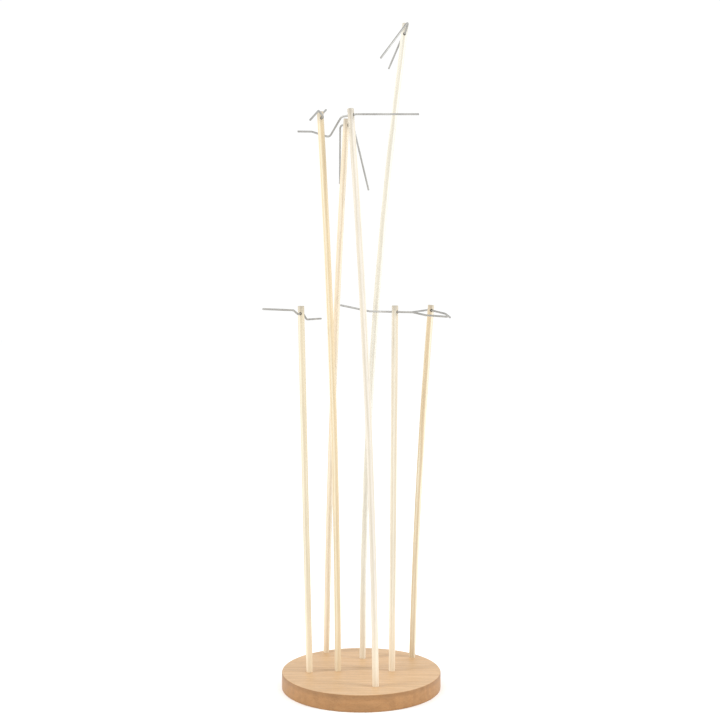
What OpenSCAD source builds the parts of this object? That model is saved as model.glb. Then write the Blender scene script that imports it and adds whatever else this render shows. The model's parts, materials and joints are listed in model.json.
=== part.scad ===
// Display tree: seven thin dowels of three heights stand in a round wooden base,
// and each one carries a bent wire that turns in a cross hole just under its top.
// Millimetres. Z is up, the base stands on Z = 0 round the origin, and the front faces -Y.

/* [Base] */
// Diameter of the base
base_d = 150; // [120:1:200]
// Thickness of the base
base_h = 16; // [12:0.5:30]
// Radius that eases both rims of the base
rim_r = 1; // [0.2:0.1:3]
// Distance from the rim to the centre of the outermost socket
rim_margin = 6; // [5:0.5:15]
// Wood left under each socket
socket_floor = 4; // [2:0.5:8]
// Gap round a dowel in its socket
socket_gap = 0.05; // [0.01:0.01:0.2]

/* [Dowels] */
// Diameter of every dowel
dowel_d = 6; // [4:0.1:8]
// Length of the three short dowels above the base
short_h = 345; // [250:1:450]
// Length of the three middle dowels above the base
middle_h = 523; // [400:1:650]
// Length of the tallest dowel above the base
tall_h = 610; // [480:1:750]
// Bevel on both ends of a dowel
end_bevel = 0.4; // [0.1:0.1:1]

/* [Wires] */
// Diameter of the wire
wire_d = 1.8; // [1.2:0.1:2.4]
// Radius of every bend, on the middle of the wire
bend_r = 5; // [2.5:0.1:6]
// Gap round the wire in its cross hole
wire_play = 0.08; // [0.02:0.01:0.1]
// Depth of the flared mouth at each end of a cross hole
mouth_depth = 0.8; // [0.2:0.1:1.2]
// How far a mouth widens beyond the hole, on the radius
mouth_flare = 0.5; // [0.1:0.1:0.8]

/* [Hidden] */

LETTERS = "abcdefg";

// One row per dowel, as cut and as it has warped: length above the base, how far out its foot stands
// as a share of the socket ring, direction of the foot, direction of the lean and the bow, how far the
// lean carries the top, how far the middle bows out
DOWELS = [
    [short_h, 0.71, 186, 210, 8, 0],
    [middle_h - 1, 0.32, 184, 227, 2.5, 5],
    [middle_h, 1, 120, 340, 9, 3.2],
    [middle_h + 2, 0.73, 285, 130, 10.7, 6.2],
    [tall_h, 0.57, 88, 343, 0, 10.5],
    [short_h, 0.42, 357, 67, 6.5, 0],
    [short_h, 0.95, 40.5, 340, 8, 2.5]
];

// One row per wire: drop of its hole below the dowel's top, direction of the hole, then the front and
// the back arm. An arm is the straight run outside the dowel and a list of steps, and each step is
// [turn about the wire, bend, straight run after the bend]
WIRES = [
    [7, 258, [8, [[199, 23, 9], [114, 24, 41]]], [1, [[340, 55, 3], [183, 52, 43]]]],
    [6, 292, [2, [[220, 77, 1], [148, 70, 48]]], [2, [[249, 30, 58]]]],
    [6, 318, [2, [[10, 76, 60]]], [1, [[341, 77, 56]]]],
    [6, 332, [2, [[2, 9, 62]]], [5, [[325, 42, 21], [185, 68, 14], [214, 16, 13]]]],
    [10, 276, [1, [[176, 45, 7], [157, 99, 50]]], [2, [[14, 66, 32]]]],
    [6, 320, [17, [[54, 19, 11], [198, 30, 29]]], [27, [[141, 12, 33]]]],
    [5, 286, [37, [[46, 34, 6]]], [1, [[342, 7, 57]]]]
];

BASE_COLOR = [0.84, 0.72, 0.56];
WIRE_COLOR = [0.6, 0.6, 0.61];
DOWEL_COLORS = [
    [0.94, 0.87, 0.74], [0.9, 0.74, 0.5], [0.95, 0.86, 0.76], [0.93, 0.88, 0.74],
    [0.96, 0.88, 0.78], [0.91, 0.85, 0.74], [0.85, 0.66, 0.45]
];

dowel_r = dowel_d / 2;
wire_r = wire_d / 2;
hole_r = wire_r + wire_play;
socket_depth = base_h - socket_floor;
ring_r = base_d / 2 - rim_margin;
round_fn = 48;
bow_steps = 24;
cut_over = 2;
bore_over = 1.3;

// A bend is this much fuller than straight wire, and each straight run reaches this far into it
seam_step = 0.01;
seam_reach = 0.15;

function row_length(row) = row[0];
function row_lean(row) = asin(row[4] / row_length(row));
function row_bow(row) = 8 * row[5] / row_length(row) * 180 / PI;
function bow_radius(row) = row_length(row) ^ 2 / (8 * row[5]);

// Puts its children at the foot of a dowel, on the base's top, with Z along the dowel
module at_foot(row) {
    rotate([0, 0, row[2]])
        translate([ring_r * row[1], 0, base_h])
            rotate([0, 0, row[3] - row[2]])
                rotate([0, row_lean(row), 0])
                    children();
}

// Puts its children on the dowel's middle line, at a length above the base
module along_dowel(row, length) {
    turned = row_bow(row) * length / row_length(row);
    offset = row_bow(row) == 0
        ? [0, 0, length]
        : bow_radius(row) * [1 - cos(turned), 0, sin(turned)];
    at_foot(row)
        translate(offset)
            rotate([0, turned, 0])
                children();
}

// Puts its children in the cross hole, with X along the hole and Z along the dowel
module at_hole(row, wire_row) {
    along_dowel(row, row_length(row) - wire_row[0])
        rotate([0, 0, wire_row[1] - row[3]])
            children();
}

// A round rod along Z that bows towards +X, as long as its row says
module bowed_rod(row) {
    bow = row_bow(row);
    if (bow == 0) {
        cylinder(h = row_length(row), r = dowel_r, $fn = round_fn);
    } else {
        translate([bow_radius(row), 0, 0])
            rotate([90, 0, 180])
                rotate_extrude(angle = bow, $fn = ceil(bow_steps * 360 / bow))
                    translate([bow_radius(row), 0])
                        circle(r = dowel_r, $fn = round_fn);
    }
}

// A round bore along X with a flared mouth where it leaves the dowel on each side. The cone of a mouth
// starts inside the bore, at half its radius
module cross_hole() {
    cone_start = dowel_r - mouth_depth - mouth_depth * hole_r / (2 * mouth_flare);
    rotate([0, 90, 0])
        cylinder(h = dowel_d + 2 * bore_over, r = hole_r, center = true, $fn = round_fn);
    for (side = [0, 180]) {
        rotate([0, 0, side])
            translate([cone_start, 0, 0])
                rotate([0, 90, 0])
                    cylinder(
                        h = dowel_r + mouth_depth - cone_start,
                        r1 = hole_r / 2,
                        r2 = hole_r + 2 * mouth_flare,
                        $fn = round_fn
                    );
    }
}

// A bevel cutter for the end of a dowel, whose end face is at Z = 0
module end_cutter() {
    difference() {
        translate([0, 0, -2 * end_bevel])
            cylinder(h = 3 * end_bevel, r = dowel_r + cut_over, $fn = round_fn);
        translate([0, 0, -2 * end_bevel])
            cylinder(
                h = 3 * end_bevel,
                r1 = dowel_r + end_bevel,
                r2 = dowel_r - 2 * end_bevel,
                $fn = round_fn
            );
    }
}

// A bend of the wire that starts at the origin along +X and turns towards -Z
module wire_bend(bend) {
    translate([0, 0, -bend_r])
        rotate([90, -90, 180])
            rotate_extrude(angle = bend, $fn = 2 * round_fn)
                translate([bend_r, 0])
                    circle(r = wire_r + seam_step, $fn = round_fn);
}

// A straight run of the wire between two distances along X
module wire_run(start, end) {
    translate([start, 0, 0])
        rotate([0, 90, 0])
            cylinder(h = end - start, r = wire_r, $fn = round_fn);
}

// The steps of an arm from number i on, starting at the origin along +X
module wire_steps(steps, i = 0) {
    if (i < len(steps)) {
        bend = steps[i][1];
        run = steps[i][2];
        reach = i == len(steps) - 1 ? 0 : seam_reach;
        rotate([steps[i][0], 0, 0]) {
            wire_bend(bend);
            translate([bend_r * sin(bend), 0, -bend_r * (1 - cos(bend))])
                rotate([0, bend, 0]) {
                    wire_run(-seam_reach, run + reach);
                    translate([run, 0, 0])
                        wire_steps(steps, i + 1);
                }
        }
    }
}

module base() {
    color(BASE_COLOR)
        difference() {
            rotate_extrude($fn = 4 * round_fn) {
                square([base_d / 2 - rim_r, base_h]);
                translate([0, rim_r])
                    square([base_d / 2, base_h - 2 * rim_r]);
                for (height = [rim_r, base_h - rim_r]) {
                    translate([base_d / 2 - rim_r, height])
                        circle(r = rim_r, $fn = round_fn);
                }
            }
            for (row = DOWELS) {
                at_foot(row)
                    translate([0, 0, -socket_depth])
                        cylinder(h = socket_depth + cut_over, r = dowel_r + socket_gap, $fn = round_fn);
            }
        }
}

module dowel(i) {
    row = DOWELS[i];
    color(DOWEL_COLORS[i])
        difference() {
            union() {
                at_foot(row)
                    translate([0, 0, -socket_depth])
                        cylinder(h = socket_depth, r = dowel_r, $fn = round_fn);
                at_foot(row)
                    bowed_rod(row);
            }
            at_foot(row)
                translate([0, 0, -socket_depth])
                    mirror([0, 0, 1])
                        end_cutter();
            along_dowel(row, row_length(row))
                end_cutter();
            at_hole(row, WIRES[i])
                cross_hole();
        }
}

module wire(i) {
    front = WIRES[i][2];
    back = WIRES[i][3];
    front_start = dowel_r + front[0];
    back_start = dowel_r + back[0];
    front_reach = len(front[1]) == 0 ? 0 : seam_reach;
    back_reach = len(back[1]) == 0 ? 0 : seam_reach;
    color(WIRE_COLOR)
        at_hole(DOWELS[i], WIRES[i]) {
            wire_run(-back_start - back_reach, front_start + front_reach);
            translate([front_start, 0, 0])
                wire_steps(front[1]);
            translate([-back_start, 0, 0])
                rotate([0, 0, 180])
                    wire_steps(back[1]);
        }
}

base();
for (i = [0 : len(LETTERS) - 1]) {
    dowel(i);
    wire(i);
}
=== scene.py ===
"""Looks for the display tree: wood and wire materials, a white studio and the camera."""

import json
import math

import bpy
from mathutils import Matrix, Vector


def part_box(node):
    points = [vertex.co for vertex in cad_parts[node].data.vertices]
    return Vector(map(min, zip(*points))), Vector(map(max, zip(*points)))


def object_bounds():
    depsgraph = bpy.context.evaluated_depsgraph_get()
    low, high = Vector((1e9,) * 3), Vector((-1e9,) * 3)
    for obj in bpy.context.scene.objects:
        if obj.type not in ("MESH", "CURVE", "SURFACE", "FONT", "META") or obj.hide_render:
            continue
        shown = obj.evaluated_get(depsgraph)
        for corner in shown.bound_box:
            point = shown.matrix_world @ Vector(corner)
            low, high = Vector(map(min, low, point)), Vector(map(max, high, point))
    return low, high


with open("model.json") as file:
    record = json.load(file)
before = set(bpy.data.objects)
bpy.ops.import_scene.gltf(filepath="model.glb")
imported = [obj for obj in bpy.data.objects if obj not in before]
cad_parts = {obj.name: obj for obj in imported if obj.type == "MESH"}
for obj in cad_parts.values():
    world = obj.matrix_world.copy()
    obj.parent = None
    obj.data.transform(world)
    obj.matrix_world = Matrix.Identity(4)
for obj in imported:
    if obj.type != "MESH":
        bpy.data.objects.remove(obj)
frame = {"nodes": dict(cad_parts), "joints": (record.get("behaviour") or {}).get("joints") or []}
cad_box = [list(corner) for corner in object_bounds()]

LETTERS = "abcdefg"

# Camera, in metres and degrees: it stands in front of the object, a little above its middle
CAMERA_PLACE = (-0.00118, -1.25, 0.39775)
CAMERA_PITCH = -4.003
CAMERA_LENS = 67.25

# Studio, in metres and watts
FLOOR_SIZE = 12.0
BOX_SIZE = 0.55
LEFT_BOX = ((-1.8, -0.5, 1.4), 22.0)
RIGHT_BOX = ((1.8, -0.5, 1.4), 22.0)
ROOM_STRENGTH = 1.03

# Linear colours, each pair from the lighter to the darker
# The face is lighter and greyer than the edge: partly the real board, partly a painted reflection
# of the white room on the top
BASE_FACE = ((0.600, 0.398, 0.222), (0.545, 0.345, 0.178))
BASE_EDGE = ((0.420, 0.216, 0.080), (0.370, 0.182, 0.062))
DOWEL_TINTS = {
    "a": ((0.710, 0.645, 0.500), (0.630, 0.545, 0.390)),
    "b": ((0.730, 0.640, 0.465), (0.640, 0.510, 0.320)),
    "c": ((0.770, 0.685, 0.545), (0.690, 0.570, 0.410)),
    "d": ((0.705, 0.655, 0.575), (0.620, 0.560, 0.455)),
    "e": ((0.730, 0.715, 0.650), (0.645, 0.605, 0.505)),
    "f": ((0.710, 0.655, 0.540), (0.625, 0.545, 0.415)),
    "g": ((0.750, 0.680, 0.530), (0.600, 0.475, 0.305)),
}
END_GRAIN = ((0.42, 0.38, 0.31), (0.29, 0.26, 0.21))
# Painted bounce light: the warm tint painted over a dowel's foot
BOUNCE_TINT = (0.87, 0.73, 0.53)
# Painted shade in the mouth of a cross hole
HOLE_SHADE = (0.10, 0.07, 0.045)
STEEL = ((0.42, 0.415, 0.395), (0.30, 0.295, 0.28))
PAPER = ((0.975, 0.975, 0.975), (0.965, 0.965, 0.965))

# How much a dowel's grain, and its slower patches, are drawn out along it
GRAIN_STRETCH = 28.0
PATCH_STRETCH = 5.6
# Radius of the painted shade ring round a cross hole's mouth, and the width of its soft edge
HOLE_SHADE_R = 0.00125
HOLE_SHADE_EDGE = 0.0004
# Height of the stretch under a dowel's top that is greyed towards the end-grain colour, and how
# grey it is
TOP_GREY_H = 0.012
TOP_GREY = 0.6
# Painted bounce light from the base: height of the paler, warmer stretch over a dowel's foot, and
# how pale it is on each dowel
BOUNCE_H = 0.11
BOUNCE_TINT_SHARE = 0.7
BOUNCE_SHARE = {"a": 0.8, "b": 0.5, "c": 0.7, "d": 0.8, "e": 0.6, "f": 0.8, "g": 0.1}
# How dark the painted shade is at the mouth of each cross hole
HOLE_SHADE_SHARE = {"a": 0.5, "b": 0.0, "c": 0.0, "d": 0.4, "e": 1.0, "f": 0.3, "g": 1.0}
# Painted shade: the base's edge is darker in a band under the top rim: its height, its soft end and
# its tone
RIM_SHADE = 0.006
RIM_SHADE_END = 0.0018
RIM_SHADE_TONE = 0.82


def grey(value):
    """A linear grey."""
    return (value, value, value)


class Recipe:
    """A material in the making, with short calls that add and join its nodes."""

    def __init__(self, name):
        self.material = bpy.data.materials.new(name)
        self.material.use_nodes = True
        tree = self.material.node_tree
        self.add = tree.nodes.new
        self.link = tree.links.new
        self.shader = tree.nodes["Principled BSDF"]

    def coords(self, kind="Object"):
        return self.add("ShaderNodeTexCoord").outputs[kind]

    def scaled(self, scale):
        """Object coordinates times a scale along each axis."""
        mapping = self.add("ShaderNodeMapping")
        mapping.inputs["Scale"].default_value = scale
        self.link(self.coords(), mapping.inputs["Vector"])
        return mapping.outputs["Vector"]

    def placed(self, origin, turn, scale=(1.0, 1.0, 1.0)):
        """Coordinates in a frame of its own: its origin, its Euler turn and its scale."""
        mapping = self.add("ShaderNodeMapping")
        mapping.vector_type = "TEXTURE"
        mapping.inputs["Location"].default_value = origin
        mapping.inputs["Rotation"].default_value = turn
        mapping.inputs["Scale"].default_value = scale
        self.link(self.coords(), mapping.inputs["Vector"])
        return mapping.outputs["Vector"]

    def part(self, vector, axis):
        """One component of a vector."""
        split = self.add("ShaderNodeSeparateXYZ")
        self.link(vector, split.inputs["Vector"])
        return split.outputs[axis]

    def noise(self, vector, scale, detail, roughness, distortion=0.0):
        node = self.add("ShaderNodeTexNoise")
        node.inputs["Scale"].default_value = scale
        node.inputs["Detail"].default_value = detail
        node.inputs["Roughness"].default_value = roughness
        node.inputs["Distortion"].default_value = distortion
        self.link(vector, node.inputs["Vector"])
        return node.outputs["Fac"]

    def bands(self, vector, axis, scale, distortion):
        """Soft parallel bands across one axis, as growth rings cut lengthwise."""
        node = self.add("ShaderNodeTexWave")
        node.bands_direction = axis
        node.inputs["Scale"].default_value = scale
        node.inputs["Distortion"].default_value = distortion
        node.inputs["Detail"].default_value = 3.0
        node.inputs["Detail Scale"].default_value = 1.5
        self.link(vector, node.inputs["Vector"])
        return node.outputs["Fac"]

    def calculate(self, operation, *values):
        """One step of arithmetic on sockets and numbers."""
        node = self.add("ShaderNodeMath")
        node.operation = operation
        for socket, value in zip(node.inputs, values):
            if isinstance(value, (int, float)):
                socket.default_value = value
            else:
                self.link(value, socket)
        return node.outputs["Value"]

    def step(self, value, start, end):
        """0 below start and 1 above end, or the other way round when end is the lower."""
        node = self.add("ShaderNodeMapRange")
        node.interpolation_type = "SMOOTHSTEP"
        node.inputs["From Min"].default_value = start
        node.inputs["From Max"].default_value = end
        self.link(value, node.inputs["Value"])
        return node.outputs["Result"]

    def ramp(self, value, start, low, end, high):
        """A colour that goes from low at start to high at end."""
        node = self.add("ShaderNodeValToRGB")
        first, last = node.color_ramp.elements
        first.position = start
        first.color = (*low, 1.0)
        last.position = end
        last.color = (*high, 1.0)
        self.link(value, node.inputs["Fac"])
        return node.outputs["Color"]

    def mix(self, factor, first, second, blend="MIX"):
        """Mixes two colours; each may be a socket or a linear colour."""
        node = self.add("ShaderNodeMix")
        node.data_type = "RGBA"
        node.blend_type = blend
        for name, value in (("Factor", factor), ("A", first), ("B", second)):
            socket = next(s for s in node.inputs if s.name == name and s.enabled)
            if isinstance(value, tuple):
                socket.default_value = (*value, 1.0)
            elif isinstance(value, (int, float)):
                socket.default_value = value
            else:
                self.link(value, socket)
        return next(s for s in node.outputs if s.enabled)

    def shade(self, tone, value, start, low, end, share=1.0):
        """Darkens a tone to low times itself where a pattern is below start."""
        shadow = self.ramp(value, start, grey(low), end, grey(1.0))
        return self.mix(share, tone, shadow, "MULTIPLY")

    def finish(self, tone, pattern, rough, strength, distance):
        """Joins colour, roughness and relief to the shader."""
        self.link(tone, self.shader.inputs["Base Color"])
        roughness = self.ramp(pattern, 0.3, grey(rough[0]), 0.7, grey(rough[1]))
        self.link(roughness, self.shader.inputs["Roughness"])
        relief = self.add("ShaderNodeBump")
        relief.inputs["Strength"].default_value = strength
        relief.inputs["Distance"].default_value = distance
        self.link(pattern, relief.inputs["Height"])
        self.link(relief.outputs["Normal"], self.shader.inputs["Normal"])
        return self.material


def assign(node_name, material):
    """Gives a CAD node one material."""
    for material_slot in frame["nodes"][node_name].material_slots:
        material_slot.material = material


def base_material():
    """Sanded board: a pale face with faint long grain, a darker cut edge and small flecks. The face
    is lighter and greyer than the edge partly as the real board is, partly as a painted reflection
    of the white room on the top.
    """
    recipe = Recipe("base_board")
    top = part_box("base")[1][2]
    long_grain = recipe.scaled((1.0, 9.0, 9.0))
    rings = recipe.bands(long_grain, "Y", scale=5.0, distortion=6.0)
    fibres = recipe.noise(long_grain, scale=34.0, detail=6.0, roughness=0.6, distortion=0.4)
    cloud = recipe.noise(recipe.scaled((1.0, 2.0, 2.0)), scale=16.0, detail=3.0, roughness=0.5)
    flecks = recipe.noise(recipe.scaled((1.0, 4.0, 4.0)), scale=480.0, detail=2.0, roughness=0.5)
    face = recipe.ramp(fibres, start=0.38, low=BASE_FACE[1], end=0.62, high=BASE_FACE[0])
    edge = recipe.ramp(fibres, start=0.38, low=BASE_EDGE[1], end=0.62, high=BASE_EDGE[0])
    height = recipe.part(recipe.coords(), "Z")
    # Painted shade in a band under the base's top rim
    rim_shade_mask = recipe.step(height, top - RIM_SHADE, top - RIM_SHADE_END)
    edge = recipe.mix(rim_shade_mask, edge, recipe.mix(1.0, edge, grey(RIM_SHADE_TONE), "MULTIPLY"))
    upward = recipe.calculate("ABSOLUTE", recipe.part(recipe.coords("Normal"), "Z"))
    # Upward faces get the face colour, which partly holds a painted reflection of the white room
    tone = recipe.mix(recipe.step(upward, 0.55, 0.9), edge, face)
    tone = recipe.shade(tone, rings, start=0.2, low=0.93, end=0.8)
    tone = recipe.shade(tone, cloud, start=0.35, low=0.92, end=0.65)
    tone = recipe.shade(tone, flecks, start=0.36, low=0.8, end=0.48, share=0.7)
    return recipe.finish(tone, flecks, rough=(0.42, 0.54), strength=0.12, distance=0.0002)


def mean_point(points):
    return sum(points, Vector()) / len(points)


def dowel_line(obj):
    """The middle of a dowel's foot and of its top, from its mesh."""
    points = [vertex.co for vertex in obj.data.vertices]
    low = min(point.z for point in points)
    high = max(point.z for point in points)
    reach = 0.01 * (high - low)
    foot = mean_point([point for point in points if point.z < low + reach])
    top = mean_point([point for point in points if point.z > high - reach])
    return foot, top


def turn_to(direction):
    """The Euler turn that points Z along a direction."""
    return Vector(direction).to_track_quat("Z", "Y").to_euler()


def dowel_material(letter):
    """Pale birch dowel: growth bands, fibres, pores, painted bounce light over the foot, a greyed
    top, painted shade round the cross hole.
    """
    recipe = Recipe(f"dowel_birch_{letter}")
    light, dark = DOWEL_TINTS[letter]
    foot, top = dowel_line(frame["nodes"][f"dowel_{letter}"])
    turn = turn_to(top - foot)
    stretched = recipe.placed(foot, turn, (1.0, 1.0, GRAIN_STRETCH))
    rings = recipe.bands(stretched, "X", scale=120.0, distortion=3.5)
    fibres = recipe.noise(stretched, scale=520.0, detail=5.0, roughness=0.6, distortion=0.3)
    less_stretched = recipe.placed(foot, turn, (1.0, 1.0, PATCH_STRETCH))
    patches = recipe.noise(less_stretched, scale=55.0, detail=3.0, roughness=0.5)
    pores = recipe.noise(stretched, scale=1700.0, detail=2.0, roughness=0.5)
    tone = recipe.ramp(rings, start=0.1, low=dark, end=0.75, high=light)
    tone = recipe.shade(tone, fibres, start=0.35, low=0.92, end=0.6)
    tone = recipe.shade(tone, patches, start=0.35, low=0.95, end=0.65)
    tone = recipe.shade(tone, pores, start=0.32, low=0.75, end=0.4, share=0.5)
    ends = recipe.ramp(fibres, start=0.35, low=END_GRAIN[1], end=0.6, high=END_GRAIN[0])
    along = recipe.part(recipe.placed(foot, turn), "Z")
    length = (top - foot).length
    # Painted bounce light from the base, paler and warmer over the foot
    bounce_light = recipe.calculate("MULTIPLY", recipe.step(along, BOUNCE_H, 0.0), BOUNCE_SHARE[letter])
    tone = recipe.mix(bounce_light, tone, recipe.mix(BOUNCE_TINT_SHARE, tone, BOUNCE_TINT))
    # The stretch under the top is greyed towards the end-grain colour
    top_grey = recipe.step(along, length - TOP_GREY_H, length)
    tone = recipe.mix(recipe.calculate("MULTIPLY", top_grey, TOP_GREY), tone, ends)
    upward = recipe.part(recipe.coords("Normal"), "Z")
    tone = recipe.mix(recipe.step(upward, 0.5, 0.9), tone, ends)
    # Painted shade in and round the mouth of the cross hole
    hole_shade = recipe.calculate("MULTIPLY", hole_shade_ring(recipe, letter, fibres), HOLE_SHADE_SHARE[letter])
    tone = recipe.mix(hole_shade, tone, HOLE_SHADE)
    return recipe.finish(tone, fibres, rough=(0.6, 0.46), strength=0.25, distance=0.0002)


def hole_shade_ring(recipe, letter, pattern):
    """1 in and close round a dowel's cross hole, 0 elsewhere, with a frayed edge: the mask of the
    painted shade at the hole's mouth.
    """
    joint = next(j for j in frame["joints"] if j["name"] == f"wire_{letter}_turn")
    hole = recipe.placed(joint["pos_m"], turn_to(joint["axis"]))
    across = recipe.calculate("POWER", recipe.part(hole, "X"), 2.0)
    along = recipe.calculate("POWER", recipe.part(hole, "Y"), 2.0)
    distance = recipe.calculate("SQRT", recipe.calculate("ADD", across, along))
    frayed = recipe.calculate("MULTIPLY_ADD", pattern, HOLE_SHADE_EDGE, distance)
    middle = HOLE_SHADE_R + HOLE_SHADE_EDGE
    return recipe.step(frayed, middle + 0.5 * HOLE_SHADE_EDGE, middle - 0.5 * HOLE_SHADE_EDGE)


def steel_material():
    """Dull drawn steel wire with faint draw marks."""
    recipe = Recipe("wire_steel")
    marks = recipe.noise(recipe.coords(), scale=900.0, detail=3.0, roughness=0.6)
    cloud = recipe.noise(recipe.coords(), scale=70.0, detail=3.0, roughness=0.5)
    tone = recipe.ramp(cloud, start=0.3, low=STEEL[1], end=0.7, high=STEEL[0])
    recipe.shader.inputs["Metallic"].default_value = 1.0
    return recipe.finish(tone, marks, rough=(0.5, 0.62), strength=0.15, distance=0.00005)


def floor_material():
    """Plain matt white paper with a faint mottle."""
    recipe = Recipe("studio_floor")
    mottle = recipe.noise(recipe.coords(), scale=30.0, detail=2.0, roughness=0.5)
    tone = recipe.ramp(mottle, start=0.3, low=PAPER[1], end=0.7, high=PAPER[0])
    recipe.shader.inputs["Specular IOR Level"].default_value = 0.0
    return recipe.finish(tone, mottle, rough=(1.0, 0.95), strength=0.05, distance=0.0002)


def add_floor():
    bpy.ops.mesh.primitive_plane_add(size=FLOOR_SIZE, location=(0.0, 0.0, 0.0))
    floor = bpy.context.object
    floor.name = "studio_floor"
    floor.data.materials.append(floor_material())


def add_soft_box(name, place, power, target):
    """A square soft box at a place, aimed at a target."""
    data = bpy.data.lights.new(name, "AREA")
    data.energy = power
    data.size = BOX_SIZE
    light = bpy.data.objects.new(name, data)
    bpy.context.collection.objects.link(light)
    light.location = place
    light.rotation_euler = (Vector(target) - Vector(place)).to_track_quat("-Z", "Y").to_euler()


def add_lights():
    """Two soft boxes, high on both sides of the front, in an even white room."""
    low, high = cad_box
    middle = [0.5 * (a + b) for a, b in zip(low, high)]
    add_soft_box("left_box", *LEFT_BOX, middle)
    add_soft_box("right_box", *RIGHT_BOX, middle)
    world = bpy.context.scene.world or bpy.data.worlds.new("studio")
    bpy.context.scene.world = world
    world.use_nodes = True
    background = world.node_tree.nodes["Background"]
    background.inputs["Color"].default_value = (1.0, 1.0, 1.0, 1.0)
    background.inputs["Strength"].default_value = ROOM_STRENGTH


def add_camera():
    data = bpy.data.cameras.new("camera")
    data.lens = CAMERA_LENS
    data.clip_start = 0.01
    camera = bpy.data.objects.new("camera", data)
    bpy.context.collection.objects.link(camera)
    camera.location = CAMERA_PLACE
    camera.rotation_euler = (math.radians(90.0 + CAMERA_PITCH), 0.0, 0.0)
    bpy.context.scene.camera = camera


add_camera()
add_lights()
add_floor()
assign("base", base_material())
wire_steel = steel_material()
for letter in LETTERS:
    assign(f"dowel_{letter}", dowel_material(letter))
    assign(f"wire_{letter}", wire_steel)
bpy.context.scene.view_settings.view_transform = "Standard"
